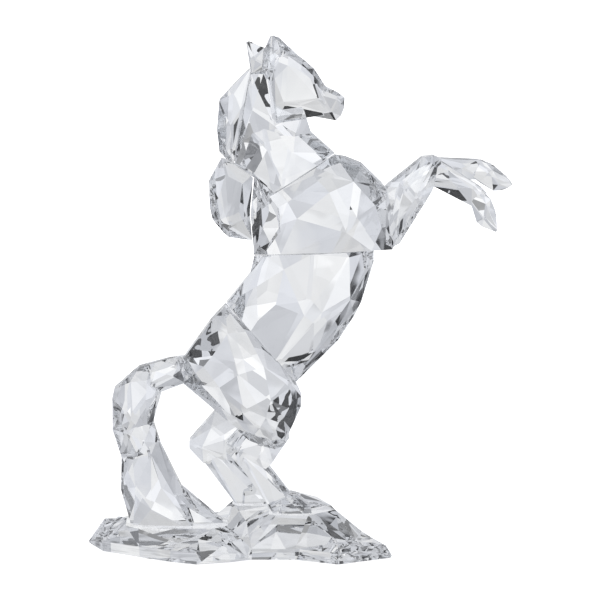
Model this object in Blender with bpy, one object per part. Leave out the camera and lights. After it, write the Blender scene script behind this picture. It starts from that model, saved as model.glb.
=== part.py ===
"""A rearing horse of cut crystal on a cut crystal base.

The figure is thirteen stones, each cut with flat facets and bonded to its neighbours.
The side elevation is laid out on a grid: one unit is 0.31 mm along the horse (X) and across it (Y),
and 0.314 mm in height (Z). X runs forward, Y to the horse's left, Z up. The underside of the base is at Z = 0.
"""

import math
import random

import bmesh
import bpy
import numpy as np
from mathutils import Matrix, Vector
from mathutils.geometry import delaunay_2d_cdt

# ---------------------------------------------------------------- driving sizes
GRID_MM = 0.31  # one grid unit along X and Y
GRID_Z_MM = 0.3146  # one grid unit along Z
SEAM_MM = 0.3  # clear joint between two bonded stones
HEAD_TURN_DEG = 14.0  # the head looks a little to the horse's left
HEAD_X = -36  # the upright axis that it turns about
VIEW_TILT = 0.19  # the side elevation is seen from this much above the level
SEAM_LEAN = 0.13  # slope of the joint faces across the figure, so that inside the glass they lie along the line of sight
LEG_SPREAD = 21  # half the distance between a left and a right leg
BASE_RIM = 11  # height of the base's upright edge along the front
BASE_TOP = 26  # height of the shelf that the tail stands on
FOOT_LEVEL = 42  # height of the level spots under the hind hooves
CRYSTAL = (0.93, 0.945, 0.96, 1.0)

NEAR, FAR = -1, 1  # the horse's right side, and its left side


def mm(gx, gy, gz):
    """A grid point in millimetres."""
    return Vector((gx * GRID_MM, gy * GRID_MM, gz * GRID_Z_MM))


# ---------------------------------------------------------------- cutting a stone
def side_on(x, z, y):
    """Where a point at depth y lies, in x and z, if the side elevation shows it at (x, z)."""
    return x, z - VIEW_TILT * y


def hull(points):
    """The smallest convex shape that holds the points, as a closed bmesh."""
    bm = bmesh.new()
    made = bmesh.ops.convex_hull(bm, input=[bm.verts.new(p) for p in points])
    inner = {v for v in made["geom_interior"] + made["geom_unused"] if isinstance(v, bmesh.types.BMVert)}
    bmesh.ops.delete(bm, geom=list(inner), context="VERTS")
    bmesh.ops.dissolve_limit(bm, angle_limit=math.radians(0.2), verts=bm.verts[:], edges=bm.edges[:])
    bmesh.ops.recalc_face_normals(bm, faces=bm.faces[:])
    return bm


def grown(bm, distance):
    """A convex bmesh with every facet moved outwards."""
    corners = []
    for v in bm.verts:
        normals = np.array([f.normal for f in v.link_faces])
        move = np.linalg.lstsq(normals, np.full(len(normals), distance), rcond=1e-2)[0]
        corners.append(v.co + Vector(move))
    bm.free()
    return hull(corners)


class Stone:
    """One convex stone: its corners, and any later flat cuts as (outward normal, distance), in millimetres.

    outline   corners of the stone's shape in side elevation, as grid points (x, z) or (x, z, e); e is half the
              stone's thickness there
    edge      that half thickness where none is given
    seams     corners of a joint's flat face, as (x, z, e); the face leans with the line of sight
    peaks     corners of the broad facets, as (x, z, d), where the side elevation shows them, d from the middle
              plane; the other side has them too, each strayed a little
    mid       the y of the middle plane
    sight     what turns a place in the side elevation and a depth into the stone's own x and z
    """

    def __init__(self, outline, edge=7, seams=(), peaks=(), mid=0, seed=1, stray=4, sight=side_on):
        chance = random.Random(seed)
        points = []
        for p in outline:
            x, z = sight(p[0], p[1], mid)
            for side in (NEAR, FAR):
                e = p[2] if len(p) > 2 else edge * chance.uniform(0.75, 1.25)
                points.append(mm(x, mid + side * e, z))
        for x, z, e in seams:
            x, z = sight(x, z, mid)
            for side in (NEAR, FAR):
                points.append(mm(x, mid + side * e, z - SEAM_LEAN * side * e))
        for x, z, d in peaks:
            x, z = sight(x, z, mid - d)
            points.append(mm(x, mid - d, z))
            points.append(
                mm(x + chance.uniform(-stray, stray), mid + d * chance.uniform(0.88, 1.0), z + chance.uniform(-stray, stray))
            )
        self.corners, self.cuts = points, []

    def cut(self, x, y, z, nx, ny, nz):
        """A flat cut through a grid point, facing (nx, ny, nz)."""
        normal = Vector((nx, ny, nz)).normalized()
        self.cuts.append((normal, normal.dot(mm(x, y, z))))
        return self

    def turned(self, degrees, x, z):
        """The stone turned about an upright axis through a grid point."""
        spin = Matrix.Rotation(math.radians(degrees), 3, "Z")
        pivot = mm(x, 0, z)
        self.corners = [spin @ (p - pivot) + pivot for p in self.corners]
        return self

    def solid(self, grow=0.0):
        """The stone as a closed bmesh in millimetres. grow moves every facet outwards."""
        bm = hull(self.corners)
        if grow:
            bm = grown(bm, grow)
        for normal, distance in self.cuts:
            found = bmesh.ops.bisect_plane(
                bm,
                geom=bm.verts[:] + bm.edges[:] + bm.faces[:],
                dist=1e-5,
                plane_co=normal * (distance + grow),
                plane_no=normal,
                clear_outer=True,
            )
            edges = [e for e in found["geom_cut"] if isinstance(e, bmesh.types.BMEdge)]
            if len(edges) > 2:
                bmesh.ops.edgeloop_fill(bm, edges=edges)
        bmesh.ops.remove_doubles(bm, verts=bm.verts[:], dist=0.02)
        bmesh.ops.recalc_face_normals(bm, faces=bm.faces[:])
        return bm


# ---------------------------------------------------------------- joining stones and making joints
def mesh_object(name, bm, scale=1.0):
    mesh = bpy.data.meshes.new(name)
    if scale != 1.0:
        bmesh.ops.scale(bm, vec=(scale,) * 3, verts=bm.verts[:])
    bm.to_mesh(mesh)
    bm.free()
    obj = bpy.data.objects.new(name, mesh)
    bpy.context.scene.collection.objects.link(obj)
    return obj


def closed(bm):
    return len(bm.verts) > 3 and all(len(e.link_faces) == 2 for e in bm.edges)


def boolean(first, second, operation):
    """first with second joined on or cut away. Both are bmeshes in millimetres, and both are used up."""
    a, b = mesh_object("first", first), mesh_object("second", second)
    modifier = a.modifiers.new("cut", "BOOLEAN")
    modifier.operation = operation
    modifier.object = b
    for solver in ("EXACT", "MANIFOLD"):  # the second only where the first one loses the stone
        modifier.solver = solver
        bpy.context.view_layer.update()
        graph = bpy.context.evaluated_depsgraph_get()
        mesh = a.evaluated_get(graph).to_mesh()
        bm = bmesh.new()
        bm.from_mesh(mesh)
        if closed(bm):
            break
    for o in (a, b):
        data = o.data
        bpy.data.objects.remove(o)
        bpy.data.meshes.remove(data)
    return tidy(bm)


def tidy(bm):
    """The short edges that a boolean leaves are welded, where that keeps the surface closed."""
    neat = bm.copy()
    bmesh.ops.remove_doubles(neat, verts=neat.verts[:], dist=0.03)
    bmesh.ops.dissolve_degenerate(neat, edges=neat.edges[:], dist=0.02)
    if closed(neat):
        bm.free()
        return neat
    neat.free()
    return bm


def largest(bm):
    """Only the largest connected body of a bmesh, because a deep cut can leave a crumb."""
    left, groups = set(bm.verts), []
    while left:
        stack, seen = [left.pop()], set()
        while stack:
            v = stack.pop()
            seen.add(v)
            for e in v.link_edges:
                w = e.other_vert(v)
                if w in left:
                    left.discard(w)
                    stack.append(w)
        groups.append(seen)
    groups.sort(key=len, reverse=True)
    loose = [v for g in groups[1:] for v in g]
    if loose:
        bmesh.ops.delete(bm, geom=loose, context="VERTS")
    return bm


def joined(stones, grow=0.0):
    bm = stones[0].solid(grow)
    for stone in stones[1:]:
        bm = boolean(bm, stone.solid(grow), "UNION")
    return bm


def piece(name, stones, against=()):
    """One crystal made of overlapping convex cuts, with a clear joint to each stone in against."""
    bm = joined(stones)
    for other in against:
        bm = boolean(bm, other.solid(SEAM_MM), "DIFFERENCE")
    bm = largest(bm)
    # flat neighbours become one facet, as far as the triangles that it is then split into stay closed
    for merge, method in ((0.3, "BEAUTY"), (0.3, "EAR_CLIP"), (0.05, "EAR_CLIP"), (0.0, "BEAUTY"), (0.0, "EAR_CLIP")):
        neat = bm.copy()
        if merge:
            bmesh.ops.dissolve_limit(neat, angle_limit=math.radians(merge), verts=neat.verts[:], edges=neat.edges[:])
        bmesh.ops.triangulate(neat, faces=neat.faces[:], quad_method="SHORT_EDGE", ngon_method=method)
        if closed(neat):
            break
    bmesh.ops.recalc_face_normals(neat, faces=neat.faces[:])
    obj = mesh_object(name, neat, 0.001)
    obj.data.materials.append(crystal(name))
    return obj


def crystal(name):
    material = bpy.data.materials.new("crystal_" + name)
    material.use_nodes = True
    shader = material.node_tree.nodes["Principled BSDF"]
    shader.inputs["Base Color"].default_value = CRYSTAL
    shader.inputs["Roughness"].default_value = 0.0
    shader.inputs["Metallic"].default_value = 0.0
    shader.inputs["IOR"].default_value = 1.545
    shader.inputs["Transmission Weight"].default_value = 1.0
    return material


for old in list(bpy.data.objects):
    bpy.data.objects.remove(old)

# ---------------------------------------------------------------- head
def faced(x, z, y):
    """As side_on, for the head, before it is turned."""
    turn = math.radians(HEAD_TURN_DEG)
    own = HEAD_X + (x - HEAD_X + y * math.sin(turn)) / math.cos(turn)
    across = (own - HEAD_X) * math.sin(turn) + y * math.cos(turn)
    return own, z - VIEW_TILT * across


skull = Stone(
    [
        (-28, 490, 12), (-14, 502, 7), (0, 492, 8), (11, 482.5, 8), (20.5, 466, 7), (27, 459, 5), (30, 450, 6), (27, 437, 6),
        (4, 435.5, 7), (-14, 438.5, 9), (-27.5, 429.5, 12), (-32.5, 470, 14), (-30, 456, 14),
    ],
    peaks=[
        (-13, 483, 18), (-26, 470, 19), (-16, 444, 17), (0, 479, 15.5), (0, 444, 14), (13, 467, 13), (18, 451, 12), (27, 446, 9),
    ],
    seed=11, stray=2, sight=faced,
)
muzzle = Stone(
    [
        (16, 468, 5), (22, 464.5, 5), (36, 458.5, 4), (42.5, 453.5, 4), (42, 443, 4), (39, 435.5, 4), (34, 430.5, 4), (29, 431.5, 4),
        (16, 438, 5), (4, 436, 7), (6, 452, 7),
    ],
    peaks=[(22, 454, 11), (36, 450, 8.5), (31, 438, 8), (41, 447, 6)], seed=13, stray=1, sight=faced,
)
ear_near = Stone(
    [(-30, 512, 2), (-26, 513, 2), (-22, 501, 4), (-24, 480, 5), (-34, 471, 3), (-38, 481, 3), (-36.5, 497, 3)],
    peaks=[(-31, 492, 6.5), (-30, 480, 7)], mid=-9, seed=15, stray=1, sight=faced,
)
ear_far = Stone(
    [(-54, 506.5, 2), (-51, 508, 2), (-36, 501.5, 3), (-18, 490, 4), (-20, 478, 4), (-37, 476, 4), (-49, 477, 4), (-51, 492, 3)],
    peaks=[(-45, 490, 6.5), (-36, 484, 7)], mid=9, seed=16, stray=1, sight=faced,
)
ear_front = Stone(
    [(-27, 512.5, 2), (-22, 511.5, 2), (0, 491, 4), (2, 484, 7), (-20, 483, 9), (-29, 494, 6)],
    peaks=[(-17, 499, 8)], mid=-3, seed=14, stray=1, sight=faced,
)
head_stones = [skull, muzzle, ear_near, ear_far, ear_front]
for s in head_stones:
    s.turned(HEAD_TURN_DEG, HEAD_X, 470)

# ---------------------------------------------------------------- neck and mane
neck_top = Stone(
    [
        (-50, 476, 7), (-37, 480, 8), (2, 441, 10), (9, 418, 9), (14, 404, 12), (2, 384, 18), (-30, 380, 20), (-66, 389, 10),
        (-65, 402, 9), (-58, 437, 9), (-53, 462, 8),
    ],
    peaks=[(-50, 439, 17), (-28, 423, 21), (-11, 405, 21), (-44, 458, 14)], seed=21,
)
neck_root = Stone(
    [(-60, 430, 9), (-40, 442, 12), (8, 419, 9), (33, 397, 9), (-66, 388, 9)],
    seams=[(33, 396.5, 12), (15, 385, 25), (-20, 363, 30), (-27, 358.5, 26)],
    peaks=[(-20, 370, 30), (-35, 399, 27), (-11, 397, 28), (6, 392, 24), (-48, 376, 20)], seed=22,
)
neck_top.turned(6, HEAD_X, 430)
neck_root.turned(3, HEAD_X, 430)
mane_high = Stone(
    [
        (-50, 481.5, 4), (-60, 472.5, 4), (-81, 450, 4), (-83.5, 421, 4), (-81, 399, 4), (-73, 390.5, 4), (-63, 386, 5),
        (-55, 431, 7), (-48, 462, 5),
    ],
    peaks=[(-66, 456, 10), (-70, 424, 13.5), (-68, 401, 13), (-60, 440, 11)], seed=31, stray=3,
)
mane_low = Stone(
    [
        (-79, 392.5, 5), (-64, 386, 5), (-46, 378, 6), (-49, 340, 8), (-47, 311, 6), (-55, 313.5, 6), (-72, 314.5, 6),
        (-77, 318.5, 5), (-88, 332, 5), (-91, 345, 5), (-91.5, 370, 5),
    ],
    peaks=[(-75, 375, 19), (-58, 366, 23), (-56, 331, 22), (-71, 325, 19), (-82, 352, 16)], seed=32,
)

# ---------------------------------------------------------------- body
CHEST_FLOOR = ((-47, 297), (91, 302))  # the joint between chest and trunk, in side elevation


def under_chest(x, drop=1.15):
    """The height of the trunk's side of that joint."""
    (ax, az), (bx, bz) = CHEST_FLOOR
    return az + (bz - az) * (x - ax) / (bx - ax) - drop


chest_core = Stone(
    [(85, 361, 11), (87, 342, 18), (92.5, 310, 14), (-48, 330, 14), (60, 386.5, 10), (80, 367, 11), (44, 393, 9)],
    seams=[(-42, 348, 24), (-20, 361.5, 30), (15, 383.5, 25), (33, 396, 11)]
    + [(x, under_chest(x, 0), e) for x, e in ((-47, 18), (-20, 33), (30, 38), (70, 32), (91, 19))],
    peaks=[
        (28, 357, 40), (52, 368, 34), (-4, 331, 42), (45, 317, 44), (74, 344, 30), (-30, 322, 34), (12, 374, 31), (80, 322, 28),
    ],
    seed=41,
)
withers = Stone(
    [(-46, 379, 12), (-30, 356, 20), (-20, 352, 26), (-18, 319, 28), (-36, 300, 22), (-47, 302, 15), (-50, 339, 15)],
    peaks=[(-40, 352, 25), (-31, 338, 37), (-38, 322, 33), (-24, 334, 42), (-31, 308, 35), (-22, 322, 42)], seed=42, stray=2,
)
chest_stones = [chest_core, withers]
trunk_core = Stone(
    [
        (72.5, 291, 8), (66, 276, 7), (60, 250, 7), (53, 236, 7), (37, 211.5, 7), (-5, 169.5, 7), (-74, 248.5, 8), (-54.5, 268.5, 9),
    ],
    seams=[(x, under_chest(x), e) for x, e in ((72.5, 10), (45, 30), (10, 37), (-22, 28), (-36, 20))]
    + [(-50, 221, 27), (-25, 192, 27)],
    peaks=[
        (48, 293, 32), (49, 251, 32), (3, 235, 42), (13, 227, 40), (-17, 281, 38), (-44, 264, 27), (12, 198, 30), (-8, 184, 22),
        (-43, 230, 31), (-25, 246, 38),
    ],
    seed=51,
)
trunk_top = Stone(
    [(-47.5, 281, 8), (-53, 267, 8), (-24, 264, 16)],
    seams=[(-46.5, under_chest(-46.5), 14), (-30, under_chest(-30), 24)],
    peaks=[(-38, 278, 22)], seed=52,
)
trunk_stones = [trunk_core, trunk_top]
croup = Stone(
    [
        (-75.5, 246.5, 8), (-90, 231, 8), (-118, 192.5, 8), (-118, 169, 9), (-75, 132, 10), (-50, 122, 10), (-15, 126, 8),
        (-4, 138, 7), (0, 152, 7), (-5.5, 166, 7),
    ],
    seams=[(-51.5, 219.5, 20), (-26.5, 190.5, 20)],
    seed=61,
)


def haunch(side, seed):
    """One side of the hindquarters, from the croup down to above the hock."""
    outline = [
        (-76, 245.5, 9), (-90, 230, 8), (-118, 192, 7), (-118, 168.5, 7), (-69, 128.5, 12), (-51, 113.5, 14), (-32, 106, 14),
        (-16, 111, 12), (-6.5, 131, 9), (0, 145, 7), (0.3, 155, 7), (-5, 166.5, 7), (-23, 192, 15), (-48, 221, 15),
    ]
    peaks = [
        (-73, 217, 25), (-55, 219, 22), (-88, 195, 26), (-37, 184, 30), (-97, 184, 24), (-81, 163, 29), (-30, 150, 32),
        (-65, 133, 25), (-13, 170, 19), (-51, 140, 30), (-41, 122, 27), (-27, 117, 24), (-17, 133, 24), (-8, 150, 17),
        (-108, 177, 14), (-62, 176, 34), (-35, 133, 31), (-22, 128, 25.5), (-12, 142, 21),
    ]
    return Stone(outline, peaks=peaks, mid=side * 12, seed=seed, stray=3)


haunch_near = haunch(NEAR, 62)
haunch_far = haunch(FAR, 63)
hind_stones = [croup, haunch_near, haunch_far]
for s in hind_stones:
    s.cut(-115, 0, 180, -1, 0.1, 0)  # the tail's joint, a little askew

# ---------------------------------------------------------------- legs
FOREARM = [
    (84, 365), (92, 371.5), (105, 382), (119, 393), (130, 394.5), (139, 390.5), (137, 377), (130, 360), (124, 350),
    (110, 331.5), (98, 308.5), (91, 304), (84, 307),
]
FOREARM_PEAKS = [(100, 362, 15), (116, 374, 13), (127, 380, 11), (112, 350, 14), (102, 336, 13), (94, 322, 12)]


def foreleg_stones(side, lower):
    """Forearm and the lower leg's stones of a raised foreleg, each of those as (outline, half thickness, peaks)."""
    y = side * LEG_SPREAD
    stones = [Stone(FOREARM, edge=6, peaks=FOREARM_PEAKS, mid=y, seed=71 + side, stray=3)]
    for i, (outline, edge, peaks) in enumerate(lower):
        stones.append(Stone(outline, edge=edge, peaks=peaks, mid=y, seed=75 + 4 * i + side, stray=2))
    return stones


HANGING = [
    (
        [(127, 387), (139.5, 388.2), (178, 363), (184, 357), (181, 345), (169, 345), (155, 353), (138, 361.5), (124, 368)], 5,
        [(146, 379, 8), (169, 361, 9), (150, 367, 8.5)],
    ),
    (
        [
            (171, 364), (181, 357.5), (188, 351), (193, 339), (195, 321), (193, 319), (180, 324), (174, 329), (169.5, 344), (166, 354),
        ],
        5, [(183, 346, 9.5), (181, 332, 9), (189, 332, 7.5)],
    ),
]
LEVEL = [
    ([(128, 393), (140, 393), (176, 391.5), (190, 386.5), (182, 372), (160, 372), (134, 376)], 5, [(160, 382, 9), (142, 384, 8)]),
    (
        [
            (168, 391.5), (180, 390.5), (193, 384.5), (205, 374.5), (211, 367), (207, 364), (200, 361), (192, 361), (178, 369),
            (166, 379),
        ],
        5, [(190, 374, 9.5), (198, 367, 8)],
    ),
]
fore_near = foreleg_stones(NEAR, HANGING)
fore_far = foreleg_stones(FAR, LEVEL)


def hindleg_stones(side, dx, toe, front):
    """Gaskin, hock, cannon and hoof of a standing hind leg, from under the thigh to the base."""
    y = side * LEG_SPREAD
    sole = FOOT_LEVEL - 12  # the level cut at the foot takes off what is below it

    def moved(points, lift=4):
        return [(p[0] + dx, p[1] + side * lift, *p[2:]) for p in points]

    stones = [
        Stone(
            moved([(-88, 138), (-114, 108), (-114, 101), (-100, 86), (-76, 82), (-69, 88), (-51, 114), (-52, 140)], 1),
            edge=7, peaks=moved([(-92, 120, 11), (-101, 101, 12), (-78, 108, 13.5), (-80, 92, 12), (-62, 118, 10)], 1),
            mid=y, seed=81 + side, stray=3,
        ),
        Stone(
            moved([(-112, 104), (-96, 110), (-77 + front, 93)], 1) + moved([(-44.5 + front, 54), (-41, sole, 8), (-59, sole, 8), (-62.5, 53)]),
            edge=5, peaks=moved([(-97, 98, 10.5), (-84, 88, 10), (-72, 74, 11), (-54, 56, 10.5)]),
            mid=y, seed=85 + side, stray=2,
        ),
        Stone(
            moved([(-60, 62), (-44, 60), (-34 + toe, 48, 8), (-29 + toe, sole, 10), (-60, sole, 10), (-61.5, 53)]),
            edge=7, peaks=moved([(-48, 50, 12.5), (-58, 48, 12.5)]), mid=y, seed=89 + side, stray=1,
        ),
    ]
    for s in stones:
        s.cut(0, 0, FOOT_LEVEL, 0, 0, -1)
    return stones


hind_near = hindleg_stones(NEAR, 39, 4, 0)
hind_far = hindleg_stones(FAR, 1.5, 0, 3.5)

# ---------------------------------------------------------------- tail
TAIL = [
    # outline, half thickness at the edge, peaks, seed: from the dock down to the base
    (
        [(-116, 195), (-134, 192), (-162, 184), (-174, 173), (-154, 154), (-139, 159.5), (-127, 166.5), (-116, 168)], 5,
        [(-145, 179, 13), (-122, 186, 10), (-150, 165, 14), (-128, 174, 13)], 91,
    ),
    (
        [
            (-150, 187), (-162, 184), (-187, 162), (-189, 153), (-189, 121), (-182, 104), (-153, 112), (-148.5, 128),
            (-140, 158), (-142, 178),
        ],
        6, [(-171, 168, 16), (-170, 130, 21), (-155, 150, 19), (-179, 141, 16), (-154, 170, 16)], 92,
    ),
    (
        [(-189, 122), (-180, 93), (-170, 84), (-146, 88), (-141.5, 108), (-148.5, 130), (-160, 136)], 7,
        [(-170, 115, 21), (-157, 108, 22.5), (-161, 98, 22)], 93,
    ),
    (
        [
            (-180, 94), (-181, 61), (-172, 33), (-169, 20, 14), (-106, 20, 20), (-120, 62), (-134, 86), (-144, 112), (-156, 116),
        ],
        8, [(-169, 90, 16), (-166, 62, 22), (-150, 95, 22), (-140, 62, 27), (-150, 40, 28), (-126, 52, 22)], 94,
    ),
    (
        [(-138, 76), (-119, 62), (-96, 39), (-79, 28.5), (-76, 20, 8), (-160, 20, 12), (-160, 42)], 6,
        [(-118, 44, 16), (-135, 55, 17), (-100, 34, 12)], 95,
    ),
]
tail_stones = [Stone(outline, edge=e, peaks=peaks, seed=seed, stray=3) for outline, e, peaks, seed in TAIL]
for s in tail_stones:
    s.cut(0, 0, BASE_TOP + SEAM_MM / GRID_Z_MM, 0, 0, -1)

# ---------------------------------------------------------------- base


RIDGE = ((-120, 24), (-92, 24), (-70, 36), (-38, 43), (-14, 51), (-2, 52), (12, 47), (29, 42), (40, 33), (49, 18), (59, 10), (72, 5), (95, 3))
RIDGE_Y = 10  # the ridge runs a little to the far side of the middle


def ground(x, y):
    """The height of the rocky top, before its facets are cut."""
    top = RIDGE[0][1]
    for (ax, az), (bx, bz) in zip(RIDGE, RIDGE[1:]):
        if ax <= x <= bx:
            top = az + (bz - az) * (x - ax) / (bx - ax)
    off = abs(y - RIDGE_Y)
    fall = max(0.0, 1 - max(0.0, off - 22) / 38)
    low = 17 if x > -95 else BASE_TOP - 2
    return low + max(0.0, top - low) * fall


BASE_PLAN = [  # the edge, from the left end round by the front
    (-215, 19), (-200, -16), (-162, -42), (-130, -62), (-104, -73), (-99, -72), (-70, -64), (-53, -55), (-49, -53),
    (-6, -53), (37, -73), (91, -44), (85, -26), (50, 50), (20, 72), (-24, 80), (-102, 80), (-171, 72), (-200, 58),
]
RIM_HEIGHTS = [2, 10, 11, 12, 12, 3, 2.5, 3, 11, 11, 12, 2.5, 8.5, 8, 6, 8, 12, 15, 16]  # of the upright edge at each of those corners
FOOT_IN = 1.2  # how far the underside's edge lies in from the widest line


KNOLL = [(30, 10, 41), (44, 12, 27), (50, 12, 19), (61, 8, 15), (73, 0, 9)]  # corners down the mound's right-hand end


def footing(x0, x1, y, half):
    """The plan of a level spot: an oblong with its corners cut off."""
    c = half * 0.45
    return [
        (x0 + c, y - half), (x1 - c, y - half), (x1, y - half + c), (x1, y + half - c),
        (x1 - c, y + half), (x0 + c, y + half), (x0, y + half - c), (x0, y - half + c),
    ]


PADS = [  # level spots, each with its height
    (footing(-176, -74, 0, 29), BASE_TOP),
    (footing(-69, -27, LEG_SPREAD, 15), FOOT_LEVEL - 1),
    (footing(-32, 14, -LEG_SPREAD, 15), FOOT_LEVEL - 1),
]


def inset(plan, distance):
    """The plan's corners moved in towards its middle line."""
    made, n = [], len(plan)
    for i, (x, y) in enumerate(plan):
        ax, ay = plan[i - 1]
        bx, by = plan[(i + 1) % n]
        u = Vector((x - ax, y - ay)).normalized()
        v = Vector((bx - x, by - y)).normalized()
        normal = Vector((-(u + v).y, (u + v).x)).normalized()
        made.append((x + normal.x * distance, y + normal.y * distance))
    return made


def inside(plan, x, y):
    n, hit = len(plan), False
    for i in range(n):
        (ax, ay), (bx, by) = plan[i], plan[(i + 1) % n]
        if (ay > y) != (by > y) and x < (bx - ax) * (y - ay) / (by - ay) + ax:
            hit = not hit
    return hit


def base_piece():
    chance = random.Random(5)
    rim = BASE_PLAN
    shoulder = inset(rim, 15)
    flat, height = [], []

    def place(x, y, z):
        flat.append(Vector((x, y)))
        height.append(z)

    def by_pad(x, y, margin):
        return any(inside(inset(plan, -margin), x, y) for plan, _ in PADS)

    for (x, y), z in zip(rim, RIM_HEIGHTS):
        place(x, y, z)
    lines = [(i, (i + 1) % len(rim)) for i in range(len(rim))]
    for i, (x, y) in enumerate(shoulder):
        if by_pad(x, y, 3):
            continue
        if x > 55 or x < -185:
            place(x, y, RIM_HEIGHTS[i] + (2 if y > 40 else 4))
        elif y < 0:
            place(x, y, BASE_RIM + 5 + 3 * ((i * 7) % 3))
        else:
            place(x, y, BASE_RIM + (8 if x < -60 else 0) + i % 3)
    for plan, z in PADS:
        first = len(flat)
        lines += [(first + i, first + (i + 1) % len(plan)) for i in range(len(plan))]
        for x, y in plan:
            place(x, y, z)
    for x, y, z in KNOLL:
        place(x, y, z)
    inner = inset(rim, 24)
    step = 25
    row = 0
    y = -90
    while y < 90:
        x = -215 + (row % 2) * step / 2
        while x < 95:
            px, py = x + chance.uniform(-6, 6), y + chance.uniform(-5, 5)
            x += step
            if min(abs(px - k[0]) + abs(py - k[1]) for k in KNOLL) < 15:
                continue
            if inside(inner, px, py) and not by_pad(px, py, 7):
                place(px, py, ground(px, py) + chance.uniform(-3, 3))
        y += step * 0.8
        row += 1
    n = len(rim)
    points, _, faces, *_ = delaunay_2d_cdt(flat, lines, [list(range(n))], 1, 1e-6)
    bm = bmesh.new()
    where = []
    for p in points:
        k = min(range(len(flat)), key=lambda i: (flat[i] - p).length)
        where.append(bm.verts.new(mm(p.x, p.y, height[k])))
    for f in faces:
        bm.faces.new([where[i] for i in f])
    bottom = {}
    for i, ((x, y), (fx, fy)) in enumerate(zip(rim, inset(rim, FOOT_IN))):
        top = min(bm.verts, key=lambda v: (v.co - mm(x, y, RIM_HEIGHTS[i])).length)
        bottom[i] = (top, mm(fx, fy, 0))
    low = [bm.verts.new(bottom[i][1]) for i in range(n)]
    for i in range(n):
        j = (i + 1) % n
        bm.faces.new([bottom[i][0], low[i], low[j], bottom[j][0]])
    bm.faces.new(list(reversed(low)))
    bmesh.ops.recalc_face_normals(bm, faces=bm.faces[:])
    bmesh.ops.triangulate(bm, faces=bm.faces[:], ngon_method="BEAUTY")
    obj = mesh_object("base", bm, 0.001)
    obj.data.materials.append(crystal("base"))
    return obj


# ---------------------------------------------------------------- the thirteen stones
base_piece()
piece("head", head_stones)
piece("neck", [neck_top, neck_root], against=head_stones + chest_stones)
piece("mane_upper", [mane_high], against=head_stones + [neck_top, neck_root])
piece("mane_lower", [mane_low], against=[mane_high, neck_top, neck_root] + chest_stones)
piece("chest", chest_stones)
piece("trunk", trunk_stones, against=chest_stones)
piece("hindquarters", hind_stones, against=trunk_stones)
piece("foreleg_right", fore_near, against=chest_stones)
piece("foreleg_left", fore_far, against=chest_stones)
piece("hind_leg_right", hind_near, against=hind_stones)
piece("hind_leg_left", hind_far, against=hind_stones)
piece("tail", tail_stones, against=hind_stones)

# the middle of the figure's box goes over the origin, with the underside at Z = 0
bpy.context.view_layer.update()
corners = [o.matrix_world @ Vector(c) for o in bpy.data.objects for c in o.bound_box]
middle = Vector(
    (
        (min(c.x for c in corners) + max(c.x for c in corners)) / 2,
        (min(c.y for c in corners) + max(c.y for c in corners)) / 2,
        min(c.z for c in corners),
    )
)
for obj in bpy.data.objects:
    obj.data.transform(Matrix.Translation(-middle))
bpy.context.view_layer.update()
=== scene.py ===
"""The crystal rearing horse: its polish, the light it is seen in and the camera."""

import math

import bpy
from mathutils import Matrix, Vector

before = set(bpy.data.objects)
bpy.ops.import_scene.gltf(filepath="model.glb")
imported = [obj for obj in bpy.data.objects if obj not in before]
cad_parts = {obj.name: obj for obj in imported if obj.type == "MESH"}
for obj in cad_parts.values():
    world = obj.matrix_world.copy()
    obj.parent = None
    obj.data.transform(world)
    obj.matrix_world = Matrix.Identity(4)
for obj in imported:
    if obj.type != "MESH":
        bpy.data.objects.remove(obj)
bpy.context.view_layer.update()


# ---------------------------------------------------------------- sizes, in metres
PIXEL = 0.00031  # one pixel of the 600 pixel frame, at the figure
CAMERA_FAR = 1.6
CAMERA_TILT = 11.0
AIM = Vector((0.00031, 0.0, 0.0786))
TENT = 0.5  # radius

# ---------------------------------------------------------------- node helpers


def new_material(name):
    mat = bpy.data.materials.new(name)
    mat.use_nodes = True
    nt = mat.node_tree
    nt.nodes.clear()
    out = nt.nodes.new("ShaderNodeOutputMaterial")
    shader = nt.nodes.new("ShaderNodeBsdfPrincipled")
    nt.links.new(shader.outputs["BSDF"], out.inputs["Surface"])
    return mat, nt, shader


def noise(nt, scale, detail=2.0, roughness=0.5):
    coords = nt.nodes.new("ShaderNodeTexCoord")
    n = nt.nodes.new("ShaderNodeTexNoise")
    n.inputs["Scale"].default_value = scale
    n.inputs["Detail"].default_value = detail
    n.inputs["Roughness"].default_value = roughness
    nt.links.new(coords.outputs["Object"], n.inputs["Vector"])
    return n


def ramp(nt, source, stops):
    r = nt.nodes.new("ShaderNodeValToRGB")
    nt.links.new(source, r.inputs["Fac"])
    r.color_ramp.elements[0].position, r.color_ramp.elements[0].color = stops[0]
    r.color_ramp.elements[1].position, r.color_ramp.elements[1].color = stops[-1]
    for position, colour in stops[1:-1]:
        e = r.color_ramp.elements.new(position)
        e.color = colour
    return r.outputs["Color"]


def crystal(name, wave=0.4, painted_shade=0.0):
    """Polished lead crystal: clear, a trace cool, with the faint ripple that polishing leaves on a cut facet. A darker
    tint, where one is asked for, is painted shade.
    """
    mat, nt, shader = new_material(name)
    shader.inputs["Transmission Weight"].default_value = 1.0
    shader.inputs["IOR"].default_value = 1.545
    shader.inputs["Roughness"].default_value = 0.0
    shader.inputs["Metallic"].default_value = 0.0
    # the last argument lowers the tint: painted shade on the darker copies
    tint = ramp(
        nt, noise(nt, 60.0, 3.0).outputs["Fac"],
        [(0.3, (0.965 - painted_shade, 0.975 - painted_shade, 0.985 - painted_shade, 1.0)), (0.7, (0.99 - painted_shade, 0.993 - painted_shade, 0.998 - painted_shade, 1.0))],
    )
    nt.links.new(tint, shader.inputs["Base Color"])
    ripple = noise(nt, 90.0, 1.0)
    bump = nt.nodes.new("ShaderNodeBump")
    bump.inputs["Strength"].default_value = wave
    bump.inputs["Distance"].default_value = 0.0005
    nt.links.new(ripple.outputs["Fac"], bump.inputs["Height"])
    nt.links.new(bump.outputs["Normal"], shader.inputs["Normal"])
    return mat


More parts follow.
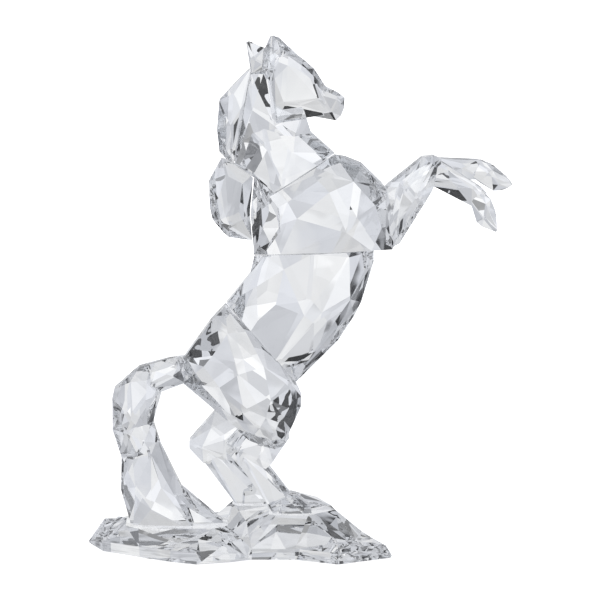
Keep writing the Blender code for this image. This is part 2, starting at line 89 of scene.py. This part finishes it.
clear = crystal("crystal_polished")
# haunch, hind legs and base are darker copies of the one crystal: painted shade, besides their own ripple strength
clear_haunch = crystal("crystal_haunch_painted_shade", 0.75, 0.04)
clear_foreleg = crystal("crystal_foreleg_polished", 0.65)
clear_leg = crystal("crystal_leg_painted_shade", 1.0, 0.05)
clear_base = crystal("crystal_base_painted_shade", 0.2, 0.025)
# which part gets which ripple and which painted shade
RIPPLE_AND_PAINTED_SHADE = {
    "base": clear_base, "hindquarters": clear_haunch, "hind_leg_right": clear_leg, "hind_leg_left": clear_leg,
    "mane_upper": clear_foreleg, "foreleg_right": clear_foreleg, "foreleg_left": clear_foreleg,
}

for name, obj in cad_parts.items():
    obj.data.materials.clear()
    obj.data.materials.append(RIPPLE_AND_PAINTED_SHADE.get(name, clear))

# ---------------------------------------------------------------- the studio
floor_mat, nt, shader = new_material("studio_floor")
shader.inputs["Base Color"].default_value = (0.9, 0.9, 0.905, 1.0)
shader.inputs["Roughness"].default_value = 0.7
shader.inputs["Emission Color"].default_value = (1.0, 1.0, 1.0, 1.0)
shader.inputs["Emission Strength"].default_value = 0.9

bpy.ops.mesh.primitive_plane_add(size=4.0, location=(0, 0, -0.0003))
floor = bpy.context.object
floor.name = "studio_floor"
floor.data.materials.append(floor_mat)
floor.visible_transmission = False
floor.visible_glossy = False



def calc(nt, operation, a, b=0.0, c=0.0):
    """A math node on two or three sockets or numbers."""
    n = nt.nodes.new("ShaderNodeMath")
    n.operation = operation
    for i, v in enumerate((a, b, c)):
        if isinstance(v, (int, float)):
            n.inputs[i].default_value = v
        else:
            nt.links.new(v, n.inputs[i])
    return n.outputs[0]


def blend(nt, kind, a, b):
    n = nt.nodes.new("ShaderNodeMix")
    n.data_type = "RGBA"
    n.blend_type = kind
    n.inputs["Factor"].default_value = 1.0
    nt.links.new(a, n.inputs["A"])
    nt.links.new(b, n.inputs["B"])
    return n.outputs["Result"]


def tone(v):
    """A panel's grey, cooler as it gets darker."""
    cool = 0.07 * (1 - min(v, 1.0)) ** 0.5
    return (v * (1 - cool), v * (1 - 0.4 * cool), v * (1 + 1.3 * cool), 1.0)


# the light tent: panels and gaps between them, as a band round the figure and a band of heights
# round: 0 and 1 are behind the camera, 0.25 the horse's tail side, 0.5 the backdrop, 0.75 its hoof side
ROUND = [
    (0.00, 0.82), (0.06, 0.56), (0.065, 0.04), (0.09, 0.04), (0.095, 0.98), (0.17, 0.76), (0.18, 0.03), (0.20, 0.03),
    (0.205, 0.75), (0.28, 0.90), (0.315, 0.66), (0.318, 0.02), (0.333, 0.03), (0.336, 0.85), (0.383, 0.68), (0.386, 0.03),
    (0.399, 0.04), (0.402, 0.70), (0.445, 0.84), (0.448, 0.90), (0.477, 1.06), (0.48, 0.88), (0.515, 1.00), (0.518, 0.78),
    (0.548, 0.84), (0.551, 1.02), (0.585, 0.88), (0.588, 0.68), (0.634, 0.72), (0.637, 0.02), (0.656, 0.03), (0.66, 0.82),
]
# height: from straight down to straight up, what the round is multiplied by
HEIGHT = [
    (0.0, 0.26), (0.08, 0.38), (0.083, 0.80), (0.17, 0.92), (0.173, 0.74), (0.24, 0.86), (0.29, 1.00), (0.293, 1.08),
    (0.35, 1.02), (0.353, 0.84), (0.395, 0.90), (0.398, 1.08), (0.440, 1.00), (0.443, 0.74), (0.487, 0.84), (0.49, 1.00),
    (0.535, 0.88), (0.538, 0.68), (0.596, 0.78), (0.599, 0.62), (0.613, 0.70), (0.615, 0.88), (0.691, 0.78), (0.693, 0.04),
    (0.703, 0.04), (0.706, 0.80), (0.77, 0.62), (0.773, 0.16), (0.82, 0.22), (0.823, 0.96), (1.0, 0.50),
]
# cards hung in front of the panels: from turn, to turn, from height, to height, how much they let through
CARDS = [
    (0.585, 0.602, 0.180, 0.192, 0.04), (0.590, 0.596, 0.196, 0.199, 0.08), (0.578, 0.588, 0.268, 0.292, 0.03),
    (0.582, 0.588, 0.292, 0.302, 0.25), (0.530, 0.550, 0.570, 0.580, 0.04), (0.465, 0.490, 0.640, 0.658, 0.03),
    (0.497, 0.520, 0.656, 0.690, 0.40), (0.478, 0.487, 0.340, 0.350, 0.05), (0.514, 0.521, 0.360, 0.367, 0.10),
    (0.511, 0.516, 0.310, 0.314, 0.10), (0.345, 0.368, 0.345, 0.420, 0.08), (0.605, 0.625, 0.405, 0.450, 0.05),
    (0.500, 0.560, 0.200, 0.213, 0.05), (0.410, 0.432, 0.500, 0.530, 0.05), (0.405, 0.450, 0.600, 0.612, 0.03),
    (0.540, 0.600, 0.600, 0.612, 0.03), (0.420, 0.434, 0.408, 0.420, 0.04), (0.436, 0.442, 0.434, 0.440, 0.25),
    (0.450, 0.462, 0.462, 0.474, 0.08), (0.424, 0.436, 0.538, 0.550, 0.08), (0.617, 0.629, 0.382, 0.396, 0.40),
    (0.585, 0.598, 0.416, 0.440, 0.40), (0.558, 0.585, 0.440, 0.450, 0.45), (0.543, 0.552, 0.490, 0.500, 0.45),
]
tent_mat = bpy.data.materials.new("light_tent")
tent_mat.use_nodes = True
tt = tent_mat.node_tree
tt.nodes.clear()
out = tt.nodes.new("ShaderNodeOutputMaterial")
glow = tt.nodes.new("ShaderNodeEmission")
tt.links.new(glow.outputs[0], out.inputs["Surface"])
coords = tt.nodes.new("ShaderNodeTexCoord")
unit = tt.nodes.new("ShaderNodeVectorMath")
unit.operation = "NORMALIZE"
tt.links.new(coords.outputs["Object"], unit.inputs[0])
split = tt.nodes.new("ShaderNodeSeparateXYZ")
tt.links.new(unit.outputs["Vector"], split.inputs[0])
turn = calc(tt, "ARCTAN2", split.outputs["X"], split.outputs["Y"])
turn = calc(tt, "MULTIPLY_ADD", turn, 0.5 / math.pi, 0.5)
rise = calc(tt, "MULTIPLY_ADD", split.outputs["Z"], 0.5, 0.5)
around = ramp(tt, turn, [(p, tone(v)) for p, v in ROUND])
by_height = ramp(tt, rise, [(p, (v, v, v, 1)) for p, v in HEIGHT])
panels = blend(tt, "MULTIPLY", around, by_height)
creases = ramp(tt, noise(tt, 9.0, 2.0).outputs["Fac"], [(0.35, (0.86, 0.865, 0.87, 1)), (0.62, (1.05, 1.05, 1.05, 1))])
light = blend(tt, "MULTIPLY", panels, creases)
for t0, t1, h0, h1, through in CARDS:
    across = calc(tt, "COMPARE", turn, (t0 + t1) / 2, (t1 - t0) / 2)
    up = calc(tt, "COMPARE", rise, (h0 + h1) / 2, (h1 - h0) / 2)
    level = calc(tt, "MULTIPLY_ADD", calc(tt, "MULTIPLY", across, up), through - 1.0, 1.0)
    light = blend(tt, "MULTIPLY", light, level)
tt.links.new(light, glow.inputs["Color"])
glow.inputs["Strength"].default_value = 1.0

bpy.ops.mesh.primitive_uv_sphere_add(segments=96, ring_count=48, radius=TENT, location=(0, 0, 0.08))
tent = bpy.context.object
tent.name = "light_tent"
tent.data.materials.append(tent_mat)
tent.visible_camera = False
tent.visible_shadow = False

world = bpy.data.worlds.new("studio")
bpy.context.scene.world = world
world.use_nodes = True
wt = world.node_tree
wt.nodes.clear()
wout = wt.nodes.new("ShaderNodeOutputWorld")
wall = wt.nodes.new("ShaderNodeBackground")
wall.inputs["Color"].default_value = (1.0, 1.0, 1.0, 1.0)
wall.inputs["Strength"].default_value = 1.0
wt.links.new(wall.outputs[0], wout.inputs["Surface"])

# ---------------------------------------------------------------- camera
scene = bpy.context.scene
cam_data = bpy.data.cameras.new("camera")
cam = bpy.data.objects.new("camera", cam_data)
scene.collection.objects.link(cam)
tilt = math.radians(CAMERA_TILT)
ahead = Vector((0.0, math.cos(tilt), -math.sin(tilt)))
cam.location = AIM - ahead * CAMERA_FAR
cam.rotation_euler = ahead.to_track_quat("-Z", "Y").to_euler()
cam_data.sensor_width = 36.0
cam_data.lens = 36.0 * CAMERA_FAR / (600 * PIXEL)
cam_data.clip_start = 0.05
scene.camera = cam

scene.view_settings.view_transform = "Standard"
scene.view_settings.look = "None"
scene.cycles.max_bounces = 24
scene.cycles.glossy_bounces = 20
scene.cycles.transmission_bounces = 24
scene.cycles.diffuse_bounces = 3
scene.cycles.caustics_reflective = True
scene.cycles.caustics_refractive = True
